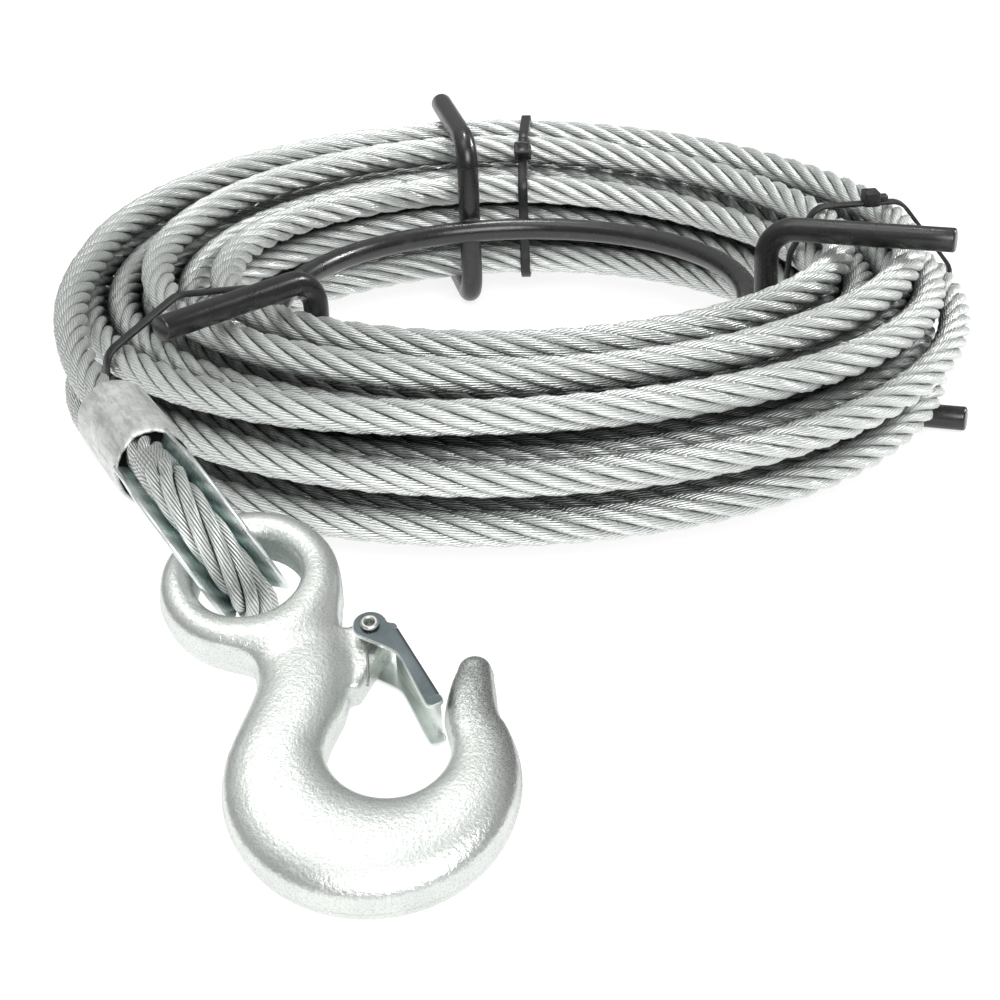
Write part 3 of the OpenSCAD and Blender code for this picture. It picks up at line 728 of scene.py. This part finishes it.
# Thimble: a thin flared channel with rounded rims, bent round the crown
def make_thimble():
    mid, half = ROPE_BEND_R, THIMBLE_W / 2
    groove = ROPE_R + 0.2
    back = groove + THIMBLE_WALL
    outer = arc(0, 0, back, 180, 103, 12)
    rim = [(0.4, half - 0.02), (0.9, half), (1.25, half - 0.2), (1.4, half - 0.55), (1.35, half - 0.95)]
    rim += [(1.05, half - 1.2), (-0.6, groove + 0.9)]
    inner = arc(0, 0, groove, 108, 180, 9)
    upper = np.concatenate([outer, rim, inner])
    section = np.concatenate([upper, upper[-2:0:-1] * (1, -1)])
    section[:, 0] += mid
    section = section[::-1]
    channel = (np.abs(section[:, 1]) < half - 1.1) & (np.hypot(section[:, 0] - mid, section[:, 1]) < groove + 1.6)
    a = math.pi / 2 - math.radians(LEG_SLOPE)
    out = np.array([math.cos(a), math.sin(a)])
    leg = np.array([math.sin(a), -math.cos(a)])
    bend_x = ((ROPE_BEND_R * out)[1] - LEG_Y) / -leg[1] * leg[0] + (ROPE_BEND_R * out)[0]
    meet = 0.05  # how near the legs come to the middle plane
    short = 3.2  # how far before the bend the sloping legs end

    def legs(side):
        found = []
        for share in np.linspace(0, 1, 8)[1:]:
            at = section[:, :1] * out
            far = (bend_x - short + 0.36 * (section[:, :1] - mid) - at[:, :1]) / leg[0]
            p = at + share * far * leg
            p[:, 1] = np.maximum(p[:, 1], meet)
            found.append(p)
        last = found[-1]
        for x in (bend_x + 1.0, MOUTH_X - 1.0, MOUTH_X + 0.4):
            p = last.copy()
            p[:, 0] = x
            p[:, 1] = np.maximum(last[:, 1] - 0.3 * (x - bend_x + short) / 8, meet)
            found.append(p)
        return [np.c_[p[:, 0], side * p[:, 1], section[:, 1]] for p in found]

    rings = legs(1)[::-1]
    for t in np.radians(np.linspace(90 - LEG_SLOPE, 270 + LEG_SLOPE, 61)):
        rings.append(np.c_[section[:, :1] * math.cos(t), section[:, :1] * math.sin(t), section[:, 1]])
    rings += legs(-1)
    piece = new_piece(
        "rope_thimble", from_thimble(np.concatenate(rings)), skin(len(rings), len(section)), "reel_and_rope",
        "thimble", THIMBLE, "thimble",
    )
    # Faces that get the painted light rather than the channel's painted shade
    mark(piece, "outside", np.tile(~channel, len(rings)))


make_thimble()


# Hook: a forging given by one smooth field, zero on its skin and less than zero inside
def smooth_low(a, b, k):
    h = np.maximum(k - np.abs(a - b), 0) / k
    return np.minimum(a, b) - h * h * k / 4


def smooth_high(a, b, k):
    return -smooth_low(-a, -b, k)


def hook_stations():
    """Points along the hook's middle line, each with its half width and half thickness."""
    neck = [(1, -15, 13.5, 5.2), (0, -20, 12.3, 6), (-1.8, -26.5, 11.8, 6.8), (-7.5, -36.5, 11.6, 7.6)]
    a = np.linspace(130, 350, 25)
    thin = 8 - 1.5 * ease((a - 290) / 60)
    half = 10.8 + 4.6 * np.cos(np.radians(a - 210))
    belly = np.c_[arc(-4, -64.7, 24, 130, 350, 25), half, thin]
    tip = [(22.8, -63.5, 6.4, 6.2), (26, -59.4, 5.7, 5.8), (29.1, -55.85, 4.7, 5.0)]
    return rounded(np.concatenate([neck, belly, tip]), 16)


STATIONS = hook_stations()
LUG = RIVET_AT[:2] + np.array([(0, 5), (-12, 9), (-20, -4), (-11, -11), (4, -3), (5, 0)])
FAR = 1e9


def flat_field(x, y):
    """What of the hook's field depends on the place in its plane: the nearest station, and the lug."""
    q = np.full(x.shape, FAR)
    w, t = np.zeros(x.shape), np.zeros(x.shape)
    for sx, sy, sw, st in STATIONS:
        d = np.hypot(x - sx, y - sy)
        near = d < q
        q[near], w[near], t[near] = d[near], sw, st
    lug = np.full(x.shape, FAR)
    sign = np.ones(x.shape)
    for (ax, ay), (bx, by) in zip(LUG, np.roll(LUG, -1, 0)):
        ex, ey = bx - ax, by - ay
        px, py = x - ax, y - ay
        h = np.clip((px * ex + py * ey) / (ex * ex + ey * ey), 0, 1)
        lug = np.minimum(lug, np.hypot(px - h * ex, py - h * ey))
        up, down, left = y >= ay, y < by, ex * py > ey * px
        sign = np.where((up & down & left) | (~up & ~down & ~left), -sign, sign)
    lug = np.minimum(lug * sign, np.hypot(x - RIVET_AT[0], y - RIVET_AT[1]) - LUG_R)
    return q, w, t, lug


def hook_field(x, y, z, flat=None):
    q, w, t, lug = flat_field(x, y) if flat is None else flat
    r = np.hypot(x, y)
    z = np.abs(z)
    body = (((q / w) ** 2.5 + (z / t) ** 2.5) ** 0.4 - 1) * np.minimum(w, t)
    eye = np.hypot(r - EYE_MID_R, np.maximum(z - 1.5, 0)) - EYE_BAR_R
    solid = smooth_low(body, eye, 6.5)
    # A thin parting line from the dies runs round the outline
    outline = smooth_low(q - w, np.abs(r - EYE_MID_R) - EYE_BAR_R, 6.5)
    solid = smooth_high(solid, outline + 0.4, 0.9)
    solid = smooth_low(solid, smooth_high(outline + 0.1, z - 0.7, 0.5), 0.5)
    solid = smooth_low(solid, smooth_high(lug, z - LUG_HALF, 1.0), 1.6)
    solid = smooth_high(solid, EYE_R - r, 1.6)
    solid = smooth_high(solid, BOWL_R - np.hypot(x - BOWL_AT[0], y - BOWL_AT[1]), 3.0)
    return smooth_high(solid, RIVET_HOLE_R - np.hypot(x - RIVET_AT[0], y - RIVET_AT[1]), 0.3)


def surface_net(lo, hi, h):
    """A mesh of quads on the field's skin: one vertex in each grid cell it crosses, then drawn onto it."""
    lo, hi = np.array(lo, float), np.array(hi, float)
    n = np.ceil((hi - lo) / h).astype(int) + 1
    gx, gy = np.meshgrid(lo[0] + h * np.arange(n[0]), lo[1] + h * np.arange(n[1]), indexing="ij")
    flat = [f[..., None] for f in flat_field(gx, gy)]
    v = hook_field(gx[..., None], gy[..., None], (lo[2] + h * np.arange(n[2]))[None, None], flat)
    inside = v < 0
    cell_corners = [(i, j, k) for i in (0, 1) for j in (0, 1) for k in (0, 1)]

    def at(a, c):
        return a[c[0]:a.shape[0] - 1 + c[0], c[1]:a.shape[1] - 1 + c[1], c[2]:a.shape[2] - 1 + c[2]]

    count = sum(at(inside, c).astype(int) for c in cell_corners)
    live = (count > 0) & (count < 8)
    cell = np.argwhere(live)
    number = np.full(live.shape, -1)
    number[live] = np.arange(len(cell))
    total, hits = np.zeros((len(cell), 3)), np.zeros(len(cell))
    for c in cell_corners:
        for axis in range(3):
            if c[axis]:
                continue
            e = tuple(1 if i == axis else c[i] for i in range(3))
            a, b = at(v, c)[live], at(v, e)[live]
            cut = (a < 0) != (b < 0)
            p = np.tile(np.array(c, float), (len(cell), 1))
            p[:, axis] += np.where(cut, a / np.where(cut, a - b, 1), 0)
            total[cut] += p[cut]
            hits[cut] += 1
    verts = lo + h * (cell + total / hits[:, None])
    faces = []
    for axis in range(3):
        low, high = [slice(None)] * 3, [slice(None)] * 3
        low[axis], high[axis] = slice(0, -1), slice(1, None)
        a, b = inside[tuple(low)], inside[tuple(high)]
        e, g = [(1, 2), (2, 0), (0, 1)][axis]
        found = np.argwhere(a != b)
        found = found[(found[:, e] > 0) & (found[:, g] > 0) & (found[:, e] < n[e] - 1) & (found[:, g] < n[g] - 1)]
        de, dg = np.eye(3, dtype=int)[e], np.eye(3, dtype=int)[g]
        quad = np.stack([number[tuple((found - s).T)] for s in (0 * de, de, de + dg, dg)], 1)
        flip = ~a[tuple(found.T)]
        quad[flip] = quad[flip][:, ::-1]
        faces.append(quad)
    steps = 0.05 * np.eye(3)
    for _ in range(3):
        f = hook_field(*verts.T)
        grad = [(hook_field(*(verts + d).T) - hook_field(*(verts - d).T)) / 0.1 for d in steps]
        grad = np.stack(grad, 1)
        move = f[:, None] * grad / np.maximum((grad**2).sum(1), 0.05)[:, None]
        verts -= np.clip(move, -0.4, 0.4)
    return verts, np.concatenate(faces)


def make_hook():
    verts, faces = surface_net((-45, -108, -10.3), (37, 26, 10.3), 0.8)
    piece = new_piece("forged_hook", from_hook(verts), faces, "hook", "forged_hook", HOOK, "hook_body")
    # Painted shade and stronger grain, growing towards the tip
    mark(piece, "tip_grain_and_shade", ease((verts[:, 0] - 8) / 20) * ease((-36 - verts[:, 1]) / 10))


make_hook()


# Latch: bent sheet with a round ear at the rivet on each side
def plate(outline, low, high, edge=0.25):
    """A flat sheet with broken edges, as rings from its lower face up to its upper one."""
    p = np.asarray(outline, float)
    d = unit(np.roll(p, -1, 0) - np.roll(p, 1, 0))
    inward = np.stack([-d[:, 1], d[:, 0]], 1)
    rings = []
    for z, off in ((low, edge), (low + edge, 0), (high - edge, 0), (high, edge)):
        rings.append(np.c_[p + off * inward, np.full(len(p), z)])
    return np.concatenate(rings), skin(4, len(p))


def make_latch():
    ear, t, half, bend, fold = 4.2, LATCH_T, LATCH_HALF, 0.8, 5.7
    top, end = -4, -26.5  # the web between the cheeks, along the latch
    outline = np.concatenate([
        arc(0, 0, ear, -9, 195, 30),
        [(-2.6, -3.3), (-1.1, -5.5), (0.4, -7.75), (1.3, -9.2), (1.85, -10.3), (2.15, -11.5), (2.15, -13)],
        [(1.95, -18), (1.6, -23), (1.4, -27.2)],
        arc(3.0, -27.4, 1.6, 180, 270, 6),
        [(4.6, -29), (5.2, -28.85), (5.6, -28.4), (fold, -27.8), (fold, -27.0), (fold - 0.3, -26.6)],
        [(fold - bend, end), (fold - bend, top), (fold - 0.3, -3.9), (fold, -3.5), (fold, -2.7)],
        [(5.4, -2.1), (4.7, -1.6), (4.2, -1.1)],
    ])
    upper, lower = plate(outline, half, half + t), plate(outline, -half - t, -half)
    a = np.radians(np.linspace(90, 0, 9))
    out = [(fold - bend + bend * math.cos(x), half + t - bend + bend * math.sin(x)) for x in a]
    inn = [(fold - t - 0.1 + 0.1 * math.cos(x), half - 0.1 + 0.1 * math.sin(x)) for x in a]
    out = [(2.9, half + t + 0.02), (fold - bend - 0.3, half + t + 0.02)] + out
    inn = [(2.9, half - 0.02), (fold - t - 0.3, half - 0.02)] + inn
    outer = out + [(x, -z) for x, z in reversed(out)]
    inner = inn + [(x, -z) for x, z in reversed(inn)]
    section = np.array(outer + inner[::-1])
    rings = []
    for y in (end, -26.4, -20, -12, -4.1, top):
        rings.append(np.c_[section[:, 0], np.full(len(section), y), section[:, 1]])
    web = (np.concatenate(rings), skin(len(rings), len(section)))
    verts, faces = join(upper, lower, web)
    obj = new_piece("sheet_latch", from_latch(verts), faces, "latch", "latch_sheet", LATCH, "hook_latch")
    rim = [CUT_EDGE] * (3 * len(outline))
    across = [OUTSIDE] * (len(outer) - 1) + [CUT_EDGE] + [INSIDE] * (len(inner) - 1) + [CUT_EDGE]
    kinds = rim + [INSIDE, OUTSIDE] + rim + [OUTSIDE, INSIDE] + across * (len(rings) - 1) + [CUT_EDGE] * 2
    mark(obj, "face_kind", np.array(kinds)[corners(obj.data)[1]], "CORNER")
    obj.data.set_sharp_from_angle(angle=math.radians(32))


make_latch()


def make_rivet():
    """A tubular rivet: a rolled rim round a small hollow on each end."""
    half = LATCH_HALF + LATCH_T + 0.3
    rim = [(1.6, 0), (2.1, 0), (2.3, 0.18), (2.32, 0.5), (2.15, 0.85), (1.85, 1.05), (1.5, 1.08), (1.25, 0.9)]
    hollow = [(1.1, 0.4), (1.05, -0.4), (0.7, -0.7), (0.02, -0.75)]
    top = [(r, half + z) for r, z in rim + hollow]
    verts, faces = lathe([(r, -z) for r, z in reversed(top)] + top, 40)
    new_piece("latch_pin", from_hook(verts + RIVET_AT), faces, "hook", "rivet", RIVET, "latch_rivet")


def make_spring():
    """A curl round the rivet and a leg that runs down along the lug's edge."""
    r, turns, high, low = 2.25, 1.6, 6.25, 4.65
    steps = np.linspace(0, turns, 49)[::4]
    a = np.radians(120 - 360 * steps)
    curl = np.stack([r * np.cos(a), r * np.sin(a), high - (high - low) * steps / turns], 1)
    leg = [(-3.4, -3.6, low), (-5.4, -6.9, low), (-7.0, -9.4, low), (-8.3, -11.4, 4.5), (-9.0, -12.2, 4.0)]
    path, _ = spaced(rounded(np.concatenate([curl, leg]), 8), 0.5)
    verts, faces = sweep(path, circle(10, 0.35), UP)
    new_piece("wire_spring", from_hook(verts + RIVET_AT), faces, "hook", "spring_wire", SPRING, "latch_spring")


make_rivet()
make_spring()

# Reel of bent bar, with its ring welded inside the arms
ARM_R = COIL_R_IN - ROPE_R - COIL_SHIFT - SEAT - BAR_R
TOP_Z = FIRST_Z + sum(STEPS) + ROPE_R + SEAT + BAR_R
RING_R = ARM_R - 2 * BAR_R - 0.05
FOOT_END, TOP_END = COIL_R_OUT + 5, COIL_R_OUT - 1
FROM_END = (0, 0.25, 0.8, 8, 20, 35)
HEADINGS = {"reel_arm_right": -19.0, "reel_arm_back": 100.0, "reel_arm_left": 226.0}


def make_arm(name, heading):
    bend = ARM_R + BAR_BEND
    a = np.radians(np.linspace(0, 90, 13))
    points = [(FOOT_END - d, BAR_R) for d in FROM_END]
    points += list(zip(bend - BAR_BEND * np.sin(a), BAR_R + BAR_BEND - BAR_BEND * np.cos(a)))
    points += [(ARM_R, z) for z in np.linspace(BAR_R + BAR_BEND, TOP_Z - BAR_BEND, 6)[1:-1]]
    points += list(zip(bend - BAR_BEND * np.cos(a), TOP_Z - BAR_BEND + BAR_BEND * np.sin(a)))
    points += [(TOP_END - d, TOP_Z) for d in reversed(FROM_END)]
    path = np.array([(r, 0, z) for r, z in points])
    size = np.ones(len(path))
    size[[0, -1]], size[[1, -2]] = 0.86, 0.96
    verts, faces = sweep(path, circle(28, BAR_R), (0, 1, 0), scale=size)
    new_piece(
        name.replace("reel", "bent"), verts @ turn_z(heading).T, faces, "reel_and_rope", "black_bar", BAR, name,
    )


for arm, heading in HEADINGS.items():
    make_arm(arm, heading)


def make_ring():
    a = np.radians(np.arange(0, 360, 2.5))
    path = np.stack([RING_R * np.cos(a), RING_R * np.sin(a), np.full(len(a), RING_Z)], 1)
    parts = [sweep(path, circle(24, BAR_R), UP, closed=True)]
    n = np.linspace(-1, 1, 9)
    bead_size = 1.5 * np.sqrt(np.clip(1.05 - n * n, 0.03, 1)) + 0.12 * np.cos(9 * n)
    for heading in HEADINGS.values():
        for lift in (1, -1):
            bead_z = RING_Z + lift * (2.6 - 0.5 * n * n)
            bead = np.stack([np.full(len(n), ARM_R - BAR_R - 0.2), 3.4 * n, bead_z], 1)
            v, f = sweep(bead, circle(14), UP, scale=bead_size)
            parts.append((v @ turn_z(heading).T, f))
    verts, faces = join(*parts)
    new_piece("welded_ring", verts, faces, "reel_and_rope", "black_bar", BAR, "reel_ring")


make_ring()


# Cable ties: a strap drawn round all the turns, with a ratchet head
def hull(points):
    pts = sorted(map(tuple, points))

    def keeps_left(a, b, c):
        return (b[0] - a[0]) * (c[1] - a[1]) > (b[1] - a[1]) * (c[0] - a[0])

    def half(seq):
        out = []
        for p in seq:
            while len(out) > 1 and not keeps_left(out[-2], out[-1], p):
                out.pop()
            out.append(p)
        return out[:-1]

    return np.array(half(pts) + half(pts[::-1]))


def turns_at(heading):
    """The turns' middles at a heading, as (radius, height)."""
    u = (heading - COIL_START) / 360 + np.arange(-1, 17)
    u = u[(u > -0.01) & (u < COIL_LOOPS)]
    p = coil_points(np.maximum(u, 0))
    return np.stack([np.hypot(p[:, 0], p[:, 1]), p[:, 2]], 1)


HEAD_SIZE = (5.4, 6.4, 5.2)
TAIL_L, TAIL_Z = 5.7, 2.1  # the strap's cut tail, and its height in the head
STRAP_GAP = 0.35


def tie_head():
    """A box with rounded edges and a hollow on top, standing on its seat."""
    bm = bmesh.new()
    bmesh.ops.create_cube(bm, size=1)
    bmesh.ops.scale(bm, vec=HEAD_SIZE, verts=bm.verts)
    bmesh.ops.translate(bm, vec=(0, 0, HEAD_SIZE[2] / 2), verts=bm.verts)
    bmesh.ops.bevel(bm, geom=list(bm.edges), offset=0.7, segments=3, affect="EDGES", profile=0.6)
    end = [f for f in bm.faces if abs(f.normal.x) > 0.99 and f.calc_area() > 8]
    bmesh.ops.inset_individual(bm, faces=end, thickness=0.7)
    top = [f for f in bm.faces if f.normal.z > 0.99 and f.calc_area() > 8]
    bmesh.ops.inset_individual(bm, faces=top, thickness=0.9, depth=-0.6)
    bm.verts.index_update()
    head = (np.array([v.co for v in bm.verts]), [tuple(v.index for v in f.verts) for f in bm.faces])
    bm.free()
    return head


def make_tie(name, heading, head_at, head_aim):
    ring = hull(np.concatenate([p + circle(40, ROPE_R + STRAP_GAP + TIE_T / 2) for p in turns_at(heading)]))
    ring = np.concatenate([ring, ring[:1]])
    path, _ = spaced(np.c_[ring[:, 0], np.zeros(len(ring)), ring[:, 1]], 1.6)
    w, t, e = TIE_W / 2, TIE_T / 2, 0.3
    section = [(t, w - e), (t - e, w), (e - t, w), (-t, w - e)]
    section = np.array(section + [(x, -y) for x, y in reversed(section)])
    parts = [sweep(path[:-1], section, (0, 1, 0), closed=True)]
    n = np.linspace(0, TAIL_L, 5)
    stub = np.stack([n, 0 * n, np.full(len(n), TAIL_Z + TIE_T / 2)], 1)
    turn = math.radians(90 - head_aim)
    m = np.array([[math.cos(turn), 0, math.sin(turn)], [0, 1, 0], [-math.sin(turn), 0, math.cos(turn)]])
    for v, f in (tie_head(), sweep(stub, section[:, ::-1], UP)):
        parts.append((np.array([head_at[0], 0, head_at[1]]) + v @ m.T, f))
    verts, faces = join(*parts)
    new_piece(
        name.replace("tie", "cable_tie"), verts @ turn_z(heading).T, faces, "reel_and_rope", "tie_nylon", NYLON, name,
    )


def inner_head(heading, drop):
    """Where the strap leaves the top turn for the bore: the head's seat there, and where it faces."""
    turns = turns_at(heading)
    top = turns[turns[:, 1] > turns[:, 1].max() - ROPE_R][0]
    under = turns[turns[:, 1] < top[1] - 0.01]
    aim = (np.degrees(np.arctan2(top[0] - under[:, 0], under[:, 1] - top[1])) % 360).min()
    c, s = math.cos(math.radians(aim)), math.sin(math.radians(aim))
    return top + (ROPE_R + SEAT) * np.array([c, s]) - drop * np.array([s, -c]), aim


make_tie("tie_right", 7, (126, turns_at(7)[:, 1].max() + ROPE_R + SEAT), 90)
make_tie("tie_back", 87, *inner_head(87, 6.5))
make_tie("tie_left", 213, *inner_head(213, 7))

# Stage, in metres: pale floor and soft light from all round
FLOOR_HALF, FLOOR_Z = 4, -0.0005
BRIGHT_FROM = (-0.3, 0.18, 0.94)
DOME = [(0.0, 0.27), (0.3, 0.31), (0.6, 0.38), (0.82, 0.62), (0.96, 0.92)]  # nearness to that, and brightness


def make_floor():
    k = Look("floor_paper")
    grain = k.noise(8, 3, 0.5)
    k.set(Base_Color=k.mix(grain, (0.34, 0.34, 0.34), (0.36, 0.36, 0.36)), Roughness=0.9, Specular_IOR_Level=0.0)
    k.set(Emission_Color=(1, 1, 1, 1), Emission_Strength=0.82)
    mesh = bpy.data.meshes.new("floor")
    square = ((-1, -1), (1, -1), (1, 1), (-1, 1))
    mesh.from_pydata([(FLOOR_HALF * x, FLOOR_HALF * y, FLOOR_Z) for x, y in square], [], [(0, 1, 2, 3)])
    mesh.materials.append(k.mat)
    floor = bpy.data.objects.new("floor", mesh)
    bpy.context.scene.collection.objects.link(floor)


def lamp(name, at, to, size, power, spread=180):
    data = bpy.data.lights.new(name, "AREA")
    data.shape = "RECTANGLE"
    data.size, data.size_y = size
    data.energy = power
    data.spread = float(np.radians(spread))
    obj = bpy.data.objects.new(name, data)
    bpy.context.scene.collection.objects.link(obj)
    obj.location = at
    obj.rotation_euler = (Vector(to) - Vector(at)).to_track_quat("-Z", "Y").to_euler()


def make_dome():
    world = bpy.data.worlds.new("studio")
    bpy.context.scene.world = world
    world.use_nodes = True
    tree = world.node_tree
    back = next(n for n in tree.nodes if n.type == "BACKGROUND")
    place = tree.nodes.new("ShaderNodeTexCoord")
    toward = tree.nodes.new("ShaderNodeVectorMath")
    toward.operation = "DOT_PRODUCT"
    toward.inputs[1].default_value = Vector(BRIGHT_FROM).normalized()
    ramp = tree.nodes.new("ShaderNodeValToRGB")
    tree.links.new(place.outputs["Generated"], toward.inputs[0])
    tree.links.new(toward.outputs["Value"], ramp.inputs[0])
    tree.links.new(ramp.outputs[0], back.inputs["Color"])
    while len(ramp.color_ramp.elements) < len(DOME):
        ramp.color_ramp.elements.new(0.5)
    for stop, (at, tone) in zip(ramp.color_ramp.elements, DOME):
        stop.position = at
        stop.color = (tone, tone * 1.01, tone, 1)
    back.inputs["Strength"].default_value = 1.0


make_floor()
lamp("top_light", (-0.34, -0.25, 1.25), (-0.05, -0.2, 0.02), (0.6, 0.75), 2.4)
lamp("front_light", (0.35, -1.6, 1.15), (0.02, -0.1, 0.03), (1.3, 0.9), 25)
lamp("side_light", (1.15, 0.45, 0.8), (0.13, 0.06, 0.05), (0.25, 0.25), 0.17, 12)
lamp("back_light", (0.05, 0.55, 1.4), (0.02, 0.14, 0.05), (0.35, 0.25), 0.1, 12)
make_dome()
bpy.context.scene.view_settings.view_transform = "Standard"
